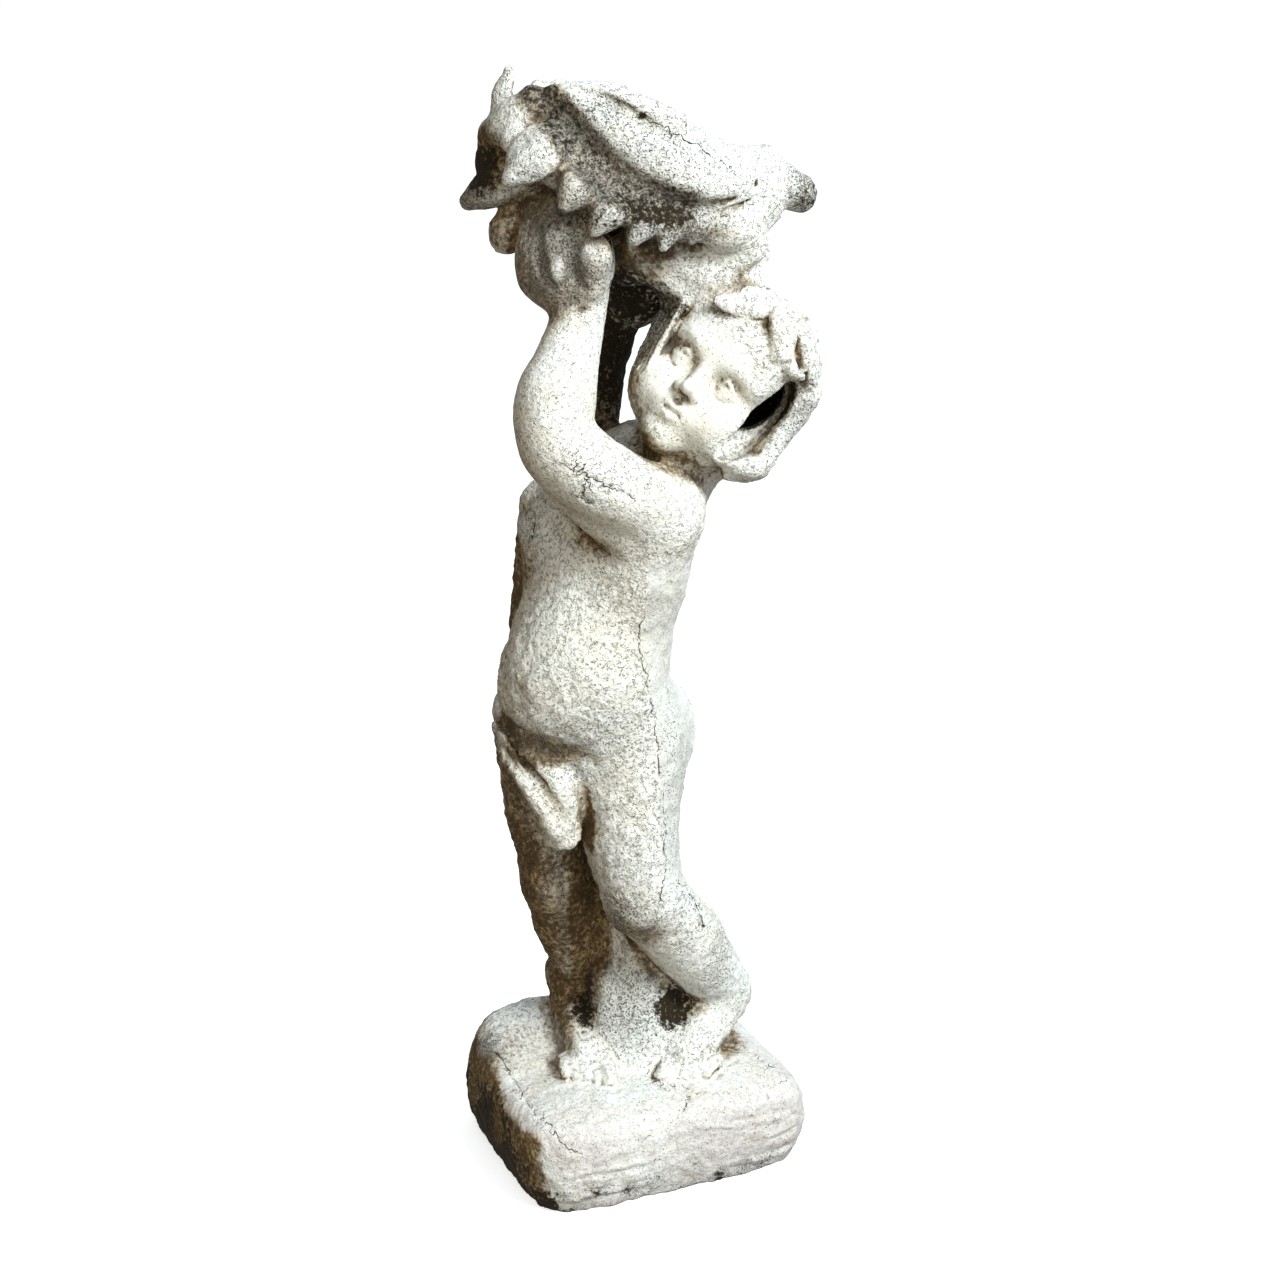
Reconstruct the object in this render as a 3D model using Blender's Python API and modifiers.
"""Weathered cement garden statue: a cherub on a worn block holds a scallop-shell bowl over its head.

The statue is one casting, so it is one closed body: block, stump, figure, cloth, mortar and shell run into
each other. It is built as a modeller in clay would: tapered rolls, egg-shaped lumps and flat petals are
pressed on a block, melted together, cut flat below, fluted along the shell, and hollowed in the bowl and in
the broken back of the head.

Run it with: blender --background --python part.py
"""
import bpy
import bmesh
from math import atan2, cos, exp, radians, sin
from mathutils import Matrix, Vector
from random import Random

# ---------------------------------------------------------------- driving dimensions, in metres
HEIGHT = 0.660                      # ground to the tip of the tallest shell tooth
MM = HEIGHT / 660                   # one modeller's millimetre, so the whole statue scales with HEIGHT
BLOCK_WIDTH = 189 * MM
BLOCK_DEPTH = 153 * MM
BLOCK_HEIGHT = 60 * MM
BLOCK_UNDERCUT = 0.075              # share of its half width that the worn block loses at the ground
BLOCK_SQUARENESS = 6                # 2 would be an ellipse; the worn block keeps swollen sides
BACK_RISE, RIGHT_RISE, RIGHT_SINK = 25, 5, 9     # mm by which the block's top humps and falls away
FIGURE_TURN = radians(-24)          # the figure is turned on its block, about the vertical
CLAY_GRAIN = 2.8 * MM               # voxel size that melts the rolls and lumps into one skin
TRIANGLES_KEPT = 0.048              # share of the melted skin's faces that the finished casting keeps
TOOL_TRIANGLES_KEPT = 0.15          # the same for a cutter that is melted out of several rolls
SPARE = 40 * MM                     # how far a cutter runs past what it cuts

# The casting's larger carving, in the modeller's millimetres of the figure.
TOE_STEP, BIG_TOE, SMALL_TOE = 6.2, 6.2, 4.4
HEAD_MIDDLE, HEAD_SCALE = Vector((52, -3, 487)), 1.11
HEAD_TOP, HEAD_FRONT = Vector((0.62, 0.10, 0.78)), Vector((-0.34, -0.92, 0.16))
HAIR_MIDDLE, HAIR_SIZE = Vector((-11, 0, 10)), Vector((43, 41.5, 41))
LOCKS, LOCK_SEED = 46, 7
HOLLOW_MIDDLE, HOLLOW_SIZE = Vector((-12, -2, 6)), Vector((35, 32, 33))
BOWL_MIDDLE, BOWL_SIZE, BOWL_SLOPE = (-4, 0, 645), (35, 64, 30), 0.2
BOWL_FLUTES, BOWL_FLUTE_DEPTH = 9, 1.6
BOWL_HINGE = 60                     # how far right of the middle its flutes spring from

CEMENT_COLOUR = (0.70, 0.67, 0.59, 1.0)


# ---------------------------------------------------------------- the modeller's tools
def to_block(point):
    """A point of the figure, in millimetres (right, back, up), as metres on the turned figure."""
    return Matrix.Rotation(FIGURE_TURN, 4, "Z") @ (Vector(point) * MM)


def axes_of(front, left, up):
    return Matrix((front, left, up)).transposed().to_4x4()


def facing(left_turn, lean=(0, 0, 1)):
    """Axes of a lump whose front looks left_turn degrees to its viewer's left, its top leaning."""
    up = Vector(lean).normalized()
    turn = radians(left_turn)
    left = up.cross(Vector((-sin(turn), -cos(turn), 0))).normalized()
    return axes_of(left.cross(up), left, up)


def head_axes():
    """Axes of the head, which leans on the left shoulder."""
    up = HEAD_TOP.normalized()
    front = (HEAD_FRONT - up * HEAD_FRONT.dot(up)).normalized()
    return axes_of(front, up.cross(front), up)


def keep(clay, shape):
    """Adds a closed shape to the clay, which is a list of meshes until it is melted."""
    mesh = bpy.data.meshes.new("clay")
    shape.to_mesh(mesh)
    shape.free()
    clay.append(mesh)


def lump(clay, centre, size, axes=None):
    """Presses on an egg whose half sizes are given to its front, to its left and upward."""
    turn = Matrix.Rotation(FIGURE_TURN, 4, "Z") @ (axes or facing(0))
    place = Matrix.Translation(to_block(centre)) @ turn @ Matrix.Diagonal((*[s * MM for s in size], 1))
    egg = bmesh.new()
    bmesh.ops.create_uvsphere(egg, u_segments=24, v_segments=14, radius=1, matrix=place)
    keep(clay, egg)


def petal(clay, start, end, width, thick, outward):
    """Lays a flat egg from start to end, thin along outward."""
    start, end, outward = Vector(start), Vector(end), Vector(outward)
    long = (end - start).normalized()
    outward = (outward - long * outward.dot(long)).normalized()
    size = (thick / 2, width / 2, (end - start).length / 2)
    lump(clay, (start + end) / 2, size, axes_of(outward, long.cross(outward), long))


def roll(clay, *marks):
    """Lays a tapered roll through marks of (right, back, up, radius), with a ball on each end."""
    path = bpy.data.curves.new("roll", "CURVE")
    path.dimensions = "3D"
    path.bevel_depth = 1
    path.bevel_resolution = 3
    path.resolution_u = 6
    path.use_fill_caps = True
    spline = path.splines.new("BEZIER")
    spline.radius_interpolation = "CARDINAL"
    spline.bezier_points.add(len(marks) - 1)
    for knot, (*place, radius) in zip(spline.bezier_points, marks):
        knot.co = to_block(place)
        knot.radius = radius * MM
        knot.handle_left_type = knot.handle_right_type = "AUTO"
    wire = bpy.data.objects.new("roll", path)
    bpy.context.scene.collection.objects.link(wire)
    bpy.context.view_layer.update()
    mesh = bpy.data.meshes.new_from_object(wire.evaluated_get(bpy.context.evaluated_depsgraph_get()))
    tube = bmesh.new()
    tube.from_mesh(mesh)
    bmesh.ops.remove_doubles(tube, verts=tube.verts, dist=0.00005)
    keep(clay, tube)
    bpy.data.objects.remove(wire)
    bpy.data.meshes.remove(mesh)
    for *place, radius in (marks[0], marks[-1]):
        lump(clay, place, (radius, radius, radius))


def joined(name, clay):
    """One mesh of all the clay, its shapes still passing through each other."""
    both = bmesh.new()
    for mesh in clay:
        both.from_mesh(mesh)
        bpy.data.meshes.remove(mesh)
    mesh = bpy.data.meshes.new(name)
    both.to_mesh(mesh)
    both.free()
    return mesh


def melt(thing, triangles_kept):
    """Modifiers that melt a thing's shapes into one skin, smooth it and thin its faces."""
    skin = thing.modifiers.new("melt together", "REMESH")
    skin.mode = "VOXEL"
    skin.voxel_size = CLAY_GRAIN
    soften = thing.modifiers.new("soften", "SMOOTH")
    soften.factor = 0.5
    soften.iterations = 2
    thin = thing.modifiers.new("fewer faces", "DECIMATE")
    thin.ratio = triangles_kept


# ---------------------------------------------------------------- the casting, from the ground up
def block_and_stump(clay):
    """A low block with swollen, worn sides and a raised back corner, and the stump behind the legs."""
    middle, half_height = 0.42 * BLOCK_HEIGHT, 0.58 * BLOCK_HEIGHT
    half = Vector((BLOCK_WIDTH / 2, BLOCK_DEPTH / 2, half_height))
    power = BLOCK_SQUARENESS
    block = bmesh.new()
    bmesh.ops.create_uvsphere(block, u_segments=64, v_segments=40, radius=1)
    for vertex in block.verts:
        across, along, up = (abs(vertex.co[i] / half[i]) for i in range(3))
        reach = (across ** power + along ** power + up ** power) ** (-1 / power)
        vertex.co = vertex.co * reach + Vector((0, 0, middle))
        low = max(1 - vertex.co.z / (BLOCK_HEIGHT / 2), 0)
        vertex.co.xy *= 1 - BLOCK_UNDERCUT * low ** 2
        x, y, z = vertex.co / MM
        high = min(max((z - 20) / 30, 0), 1)
        mound = (BACK_RISE * min(max(y / 70, 0), 1) * exp(-((x + 42) / 60) ** 4)
                 + RIGHT_RISE * exp(-((x - 40) / 40) ** 2 - ((y - 40) / 40) ** 2)
                 - RIGHT_SINK * min(max((x - 60) / 35, 0), 1) ** 2)
        vertex.co.z += mound * high * MM
    keep(clay, block)
    lump(clay, (-46, 40, 58), (30, 22, 12), facing(70))
    lump(clay, (-10, 46, 58), (30, 22, 14), facing(90))
    roll(clay, (-22, 26, 240, 16), (-12, 26, 205, 20), (-6, 26, 170, 21), (-3, 22, 140, 24),
         (0, 12, 103, 27), (4, 4, 62, 32))
    roll(clay, (-18, 0, 108, 10), (-13, -4, 84, 13), (-6, -8, 62, 16))
    lump(clay, (10, 30, 64), (36, 34, 22))
    lump(clay, (32, 24, 84), (22, 16, 26))


def legs_and_feet(clay):
    """The left leg is bent and carries little; the right leg stands straight behind it."""
    roll(clay, (2, -14, 275, 30), (0, -20, 243, 30.5), (0, -24, 213, 29), (7, -26, 180, 24.5))
    roll(clay, (9, -26, 176, 23.5), (25, -12, 150, 23.5), (43, 4, 120, 21.5), (57, 18, 96, 18))
    lump(clay, (33, 4, 143), (19, 19, 24), facing(20, (-0.7, -0.35, 0.7)))
    lump(clay, (0, -41, 178), (9, 14, 13), facing(34))
    roll(clay, (57, 20, 86, 15.5), (46, 3, 78, 16), (36, -12, 70, 15), (32, -18, 67, 13))
    lump(clay, (59, 29, 79), (13, 12, 14), facing(34))
    roll(clay, (-50, 22, 270, 29), (-54, 20, 228, 27), (-51, 14, 191, 21.5), (-48, 12, 168, 19.5))
    roll(clay, (-48, 12, 172, 19.5), (-43, 19, 142, 18), (-39, 28, 110, 13.5))
    lump(clay, (-46, 23, 146), (17, 17, 25), facing(0, (0.1, 0.15, 1)))
    roll(clay, (-40, 36, 96, 15), (-37, 16, 80, 14), (-32, -6, 70, 13), (-30, -22, 66, 11))
    left_foot = (Vector((36, -20, 63)), Vector((-0.42, -0.9, -0.12)), Vector((0.9, -0.42, 0)))
    right_foot = (Vector((-29, -24, 64)), Vector((0.2, -0.97, -0.12)), Vector((-0.97, -0.2, 0)))
    for ball, ahead, outward in (left_foot, right_foot):
        for toe in range(5):
            thickness = BIG_TOE if toe == 0 else SMALL_TOE
            root = ball + outward * (toe - 1.7) * TOE_STEP - ahead * (2 + toe)
            tip = root + ahead * (23 - 2 * toe)
            roll(clay, (*root, thickness + 0.5), (*tip, thickness - 0.8))


def trunk(clay):
    """Hips, round belly and chest, turned well to the left of the feet."""
    lump(clay, (-25, 8, 266), (47, 57, 44), facing(42))
    lump(clay, (6, 16, 266), (35, 31, 41), facing(42))
    lump(clay, (-24, 50, 256), (33, 31, 38), facing(42))
    lump(clay, (-27, -12, 317), (49, 49, 56), facing(46))
    lump(clay, (-53, -29, 305), (19, 28, 27), facing(46))
    lump(clay, (-16, 0, 372), (43, 52, 62), facing(48, (0.15, 0, 1)))
    lump(clay, (-9, 4, 412), (36, 52, 36), facing(48))
    for blade in ((22, 12, 392), (0, 40, 388)):
        lump(clay, blade, (10, 18, 26), facing(48))


def cloth(clay):
    """A strip of drapery from the right shoulder blade, round the hip and between the legs."""
    roll(clay, (-50, 24, 406, 18), (-56, 24, 372, 15), (-62, 24, 330, 13), (-68, 20, 290, 12))
    roll(clay, (-70, -26, 282, 10), (-58, -36, 270, 12), (-46, -39, 252, 13), (-41, -38, 232, 11))
    roll(clay, (-81, -16, 283, 3.5), (-75, -31, 271, 4.4), (-65, -42, 259, 4.8), (-56, -48, 247, 5.6),
         (-48, -50, 234, 6), (-44, -48, 226, 5))
    roll(clay, (-75, 4, 282, 8), (-76, 22, 282, 9), (-66, 44, 280, 9), (-44, 64, 280, 8),
         (-10, 66, 288, 7), (10, 54, 300, 5))
    petal(clay, (-74, 20, 296), (-66, 34, 226), 44, 16, (-0.9, 0.4, 0))


def arms_and_hands(clay):
    """Both arms are raised: the left crosses the chest and bends up, the right goes straight up behind."""
    roll(clay, (18, -34, 416, 22), (0, -48, 428, 23), (-20, -57, 442, 22.5), (-37, -58, 456, 23),
         (-43, -55.5, 471, 22.5), (-41.5, -53, 486, 22), (-37.5, -48, 498, 19),
         (-34, -42, 510, 16.8), (-31, -37, 522, 15.5), (-29, -33, 536, 15.5))
    lump(clay, (18, -30, 421), (22, 21, 23), facing(48))
    lump(clay, (9, -30, 392), (24, 20, 32), facing(20))
    roll(clay, (-46, -38, 446, 8), (-40, -42, 436, 11), (-22, -47, 421, 12.5), (-5, -46, 407, 13),
         (12, -38, 396, 14))
    lump(clay, (-37, -30, 557), (27, 28, 29), facing(20))
    for *finger, thickness in (((-53, -38, 548), (-54, -38, 562), (-53, -32, 578), (-52, -18, 588), 9),
                               ((-41, -45, 548), (-42, -47, 562), (-42, -41, 577), (-41, -28, 588), 9.5),
                               ((-24, -46, 546), (-23, -49, 562), (-27, -42, 578), (-28, -28, 588), 9.5)):
        roll(clay, *((*mark, thickness) for mark in finger))
    lump(clay, (-19, -51, 562), (10, 8.5, 9), facing(20))
    petal(clay, (-56, -14, 588), (-76, -12, 561), 25, 17, (-0.2, -1, 0.1))
    roll(clay, (24, 10, 440, 17), (4, 26, 440, 18), (-18, 44, 430, 18))
    roll(clay, (-34, 46, 402, 22), (-27, 54, 431, 17), (-20, 52, 464, 12.5), (-14, 46, 496, 12),
         (-8, 42, 520, 12.5))
    lump(clay, (2, 34, 540), (22, 24, 28))
    for right in (-14, -3, 8):
        roll(clay, (right, 52, 545, 6.5), (right - 2, 54, 562, 6.5), (right - 3, 46, 578, 6))


def head(clay):
    """The head looks up at the shell, tipped onto the left shoulder, with a plain child's face."""
    axes = head_axes()

    def on_head(point):
        return HEAD_MIDDLE + HEAD_SCALE * (axes @ Vector(point))

    def head_lump(centre, size):
        lump(clay, on_head(centre), Vector(size) * HEAD_SCALE, axes)

    def head_roll(*marks):
        roll(clay, *((*on_head(mark[:3]), mark[3] * HEAD_SCALE) for mark in marks))

    roll(clay, (14, -4, 414, 24), (32, -6, 445, 23), (40, -4, 470, 22))
    head_lump((-6, 0, 8), (44, 40, 41))
    head_lump((8, 0, -18), (33, 34, 32))
    lump(clay, (58, 4, 449), (20, 25, 21))
    head_lump((33, 0, -38), (10, 12, 10))
    head_lump((24, 0, 16), (18, 31, 24))
    head_roll((38.6, 0, 4, 3), (41, 0, -8, 4), (44, 0, -14, 5))
    head_roll((34, 9, -26, 4), (39, 0, -26, 5), (34, -9, -26, 4))
    for side in (1, -1):
        head_lump((23, side * 19, -21), (17, 15, 16))
        head_lump((36, side * 14, 6), (5, 12, 4))

    head_lump(HAIR_MIDDLE, HAIR_SIZE)
    roll(clay, (99, -20, 480, 8), (91, -18, 467, 7), (79, -22, 453, 7.5), (70, -28, 441, 8),
         (56, -36, 441, 6.5))
    petal(clay, (44, -36, 537), (84, -36, 528), 15, 8, (-0.1, -0.8, 0.6))
    # Short thick locks lie over the crown, the temples and the back of the head.
    draw = Random(LOCK_SEED)
    for _ in range(LOCKS):
        round_head, rise = radians(draw.uniform(60, 290)), radians(draw.uniform(-45, 70))
        outward = Vector((cos(round_head) * cos(rise), sin(round_head) * cos(rise), sin(rise)))
        root = HAIR_MIDDLE + outward * (HAIR_SIZE - Vector((0.8, 0.8, 0.8)))
        down = outward.cross(Vector((0.4, draw.uniform(-0.4, 0.4), 1))).cross(outward).normalized() * 9
        head_roll((*(root + down), 3.6), (*root, 5), (*(root - down), 3.6))


# ---------------------------------------------------------------- the shell
FAR_RIM_DROP = (0, 9, 10, 7, 5, 0, 0, 0)      # how much lower the rim's marks are on the shell's far side
RIM = ((74, 4, 610, 7), (50, 27, 613, 8.5), (28, 38, 626, 9), (6, 43, 637, 9),
       (-15, 43, 645, 8.5), (-46, 39, 643, 7.5), (-66, 27, 634, 7.5), (-77, 8, 625, 8))
BROAD_FLUTE = ((74, 8, 599, 8), (56, 25, 598, 14), (36, 37, 601, 19), (14, 41, 611, 20),
               (-8, 43, 624, 17), (-26, 43, 637, 11), (-43, 43, 645, 6))
SKIRT = ((-60, 36, 620, 12), (-36, 45, 607, 12), (-10, 48, 593, 12), (14, 46, 583, 12),
         (36, 38, 578, 10), (58, 24, 581, 10), (74, 8, 591, 9))
TEETH = (((-30, 42, 629, 13), (-47, 53, 616, 12), (-63, 57, 604, 5)),
         ((-20, 48, 610, 12), (-28, 56, 601, 10.5), (-35, 61, 591, 4)),
         ((-3, 50, 598, 11.5), (-12, 56, 590, 10.5), (-21, 61, 578, 3.5)),
         ((12, 49, 590, 10), (7, 53, 583, 8.5), (3, 57, 575, 3.5)),
         ((26, 45, 585, 9), (21, 49, 577, 7.5), (17, 53, 567, 3)),
         ((39, 39, 582, 8), (36, 42, 576, 6.5), (32, 45, 570, 3)),
         ((52, 30, 583, 7.5), (48, 34, 577, 5.5), (44, 37, 572, 3)),
         ((63, 20, 587, 6.5), (61, 24, 581, 5), (58, 27, 576, 3)))
WIDE_GROOVE = ((-51, 42, 650, 3), (-44, 50, 642, 5), (-36, 56, 632, 8), (-28, 60, 620.5, 9.5),
               (-18, 62, 610, 9.5), (-7, 64, 601, 9), (5, 63, 595, 7.5), (17, 60.5, 590.5, 6),
               (28, 56.5, 587, 4.5))


def on_flank(flank, marks):
    """Marks of the shell's back flank (1), or the same marks on its front flank (-1)."""
    return [(right, flank * back, up, radius) for right, back, up, radius in marks]


def shell(clay):
    """A long scallop bowl, hinge to the right: a thick rim, a broad rolled flank and a skirt of teeth."""
    lump(clay, (4, 0, 604), (44, 70, 30), facing(0, (BOWL_SLOPE, 0, 1)))
    roll(clay, (68, 0, 598, 14), (50, 0, 590, 22), (20, 0, 592, 26))
    for flank in (-1, 1):
        drops = FAR_RIM_DROP if flank > 0 else (0,) * len(RIM)
        rim = [(right, back, up - drop, thick) for (right, back, up, thick), drop in zip(RIM, drops)]
        for marks in (rim, BROAD_FLUTE, SKIRT, *TEETH):
            roll(clay, *on_flank(flank, marks))
        petal(clay, (-42, 32 * flank, 642), (-79, 21 * flank, 619), 30, 26, (-0.3, 0.9 * flank, 0.3))
    petal(clay, (-37, -51, 630), (-64, -57, 604), 29, 13, (-0.45, -0.88, 0.1))
    roll(clay, (-56, -56, 612, 8), (-66, -58, 602, 3.5))
    roll(clay, (-70, -6, 624, 12), (-77, -6, 612, 10), (-80, -6, 598, 7))
    roll(clay, (-60, -18, 604, 14), (-76, -17, 596, 11.5), (-91, -14, 588, 5))
    roll(clay, (-60, 16, 604, 13), (-76, 18, 594, 9.5), (-90, 22, 584, 4))
    petal(clay, (-80, 30, 624), (-69, 36, 660), 14, 7, (-0.6, -0.8, 0))
    roll(clay, (72, 0, 600, 14), (84, 4, 595, 12), (94, 8, 591, 8))
    lump(clay, (95, 10, 590), (9, 9, 10))
    roll(clay, (52, -26, 574, 13), (62, -16, 570, 13), (62, -4, 562, 11))
    roll(clay, (76, -4, 596, 10), (75, -4, 582, 8), (66, -4, 570, 6))


def mortar(clay):
    """A rough bed of mortar that seats the shell on the head and on the far hand."""
    roll(clay, (-2, -2, 552, 12), (17, -6, 556, 16), (42, -8, 556, 18), (56, -4, 552, 15))
    roll(clay, (6, 22, 556, 16), (34, 22, 556, 18), (58, 16, 556, 16))
    lump(clay, (44, 0, 545), (26, 32, 20))


# ---------------------------------------------------------------- what is cut away
def cutter(name, mesh, collection):
    """A Boolean cutter that shows as wire and never renders."""
    tool = bpy.data.objects.new(name, mesh)
    tool.display_type = "WIRE"
    tool.hide_render = True
    collection.objects.link(tool)
    return tool


def ground_cutter(collection):
    """A slab that leaves the underside flat at ground level."""
    slab = bmesh.new()
    size = Matrix.Diagonal((BLOCK_WIDTH + SPARE, BLOCK_DEPTH + SPARE, SPARE, 1))
    bmesh.ops.create_cube(slab, size=1, matrix=Matrix.Translation((0, 0, -SPARE / 2)) @ size)
    made = []
    keep(made, slab)
    return cutter("ground cutter", made[0], collection)


def bowl_cutter(collection):
    """The inside of the shell: a long shallow egg, fluted from the hinge, that breaks out at the top."""
    egg = bmesh.new()
    bmesh.ops.create_uvsphere(egg, u_segments=64, v_segments=24, radius=1)
    axes = facing(0, (BOWL_SLOPE, 0, 1))
    for vertex in egg.verts:
        place = axes @ (vertex.co * Vector(BOWL_SIZE)) + Vector(BOWL_MIDDLE)
        fan = atan2(place.y, BOWL_HINGE - place.x)
        below = max(-vertex.co.z, 0)
        place.z -= BOWL_FLUTE_DEPTH * below * cos(fan * BOWL_FLUTES)
        vertex.co = to_block(place)
    made = []
    keep(made, egg)
    return cutter("bowl cutter", made[0], collection)


BREAK = ((92, -37, 491, 3), (87, -35, 484, 7), (80, -33, 477, 10), (71, -37, 468, 11),
         (61, -44, 459, 10), (51, -52, 456, 6))


def break_cutter(collection):
    """The hollow of the head and the jagged break behind the left cheek that opens it."""
    made, axes = [], head_axes()
    lump(made, HEAD_MIDDLE + HEAD_SCALE * (axes @ HOLLOW_MIDDLE), HOLLOW_SIZE * HEAD_SCALE, axes)
    for inward in (0, 8, 16):
        roll(made, *((right - 0.25 * inward, back + inward, up - 0.15 * inward, thick)
                     for right, back, up, thick in BREAK))
    tool = cutter("broken head cutter", joined("broken head cutter", made), collection)
    melt(tool, TOOL_TRIANGLES_KEPT)
    return tool


def flute_cutter(collection):
    """The wide groove along each flank of the shell, above its skirt of teeth."""
    made = []
    for flank in (-1, 1):
        roll(made, *on_flank(flank, WIDE_GROOVE))
    tool = cutter("flute cutter", joined("flute cutter", made), collection)
    melt(tool, TOOL_TRIANGLES_KEPT)
    return tool


# ---------------------------------------------------------------- assembly
def cement():
    material = bpy.data.materials.new("cement")
    material.use_nodes = True
    shader = material.node_tree.nodes["Principled BSDF"]
    shader.inputs["Base Color"].default_value = CEMENT_COLOUR
    shader.inputs["Roughness"].default_value = 0.95
    shader.inputs["Metallic"].default_value = 0.0
    return material


def cast_statue(collection, cutters):
    """Melts all the clay into the one casting, then cuts it."""
    clay = []
    for part in (block_and_stump, legs_and_feet, trunk, cloth, arms_and_hands, head, shell, mortar):
        part(clay)
    statue = bpy.data.objects.new("cherub_statue", joined("cherub_statue", clay))
    statue.data.materials.append(cement())
    collection.objects.link(statue)
    melt(statue, TRIANGLES_KEPT)
    for make_tool in (ground_cutter, bowl_cutter, break_cutter, flute_cutter):
        tool = make_tool(cutters)
        cut = statue.modifiers.new(tool.name, "BOOLEAN")
        cut.operation = "DIFFERENCE"
        cut.solver = "EXACT"
        cut.object = tool


for old in list(bpy.data.objects):
    bpy.data.objects.remove(old)
parts = bpy.data.collections.new("Cherub statue")
tools = bpy.data.collections.new("Cutters")
for group in (parts, tools):
    bpy.context.scene.collection.children.link(group)
tools.hide_render = True
cast_statue(parts, tools)
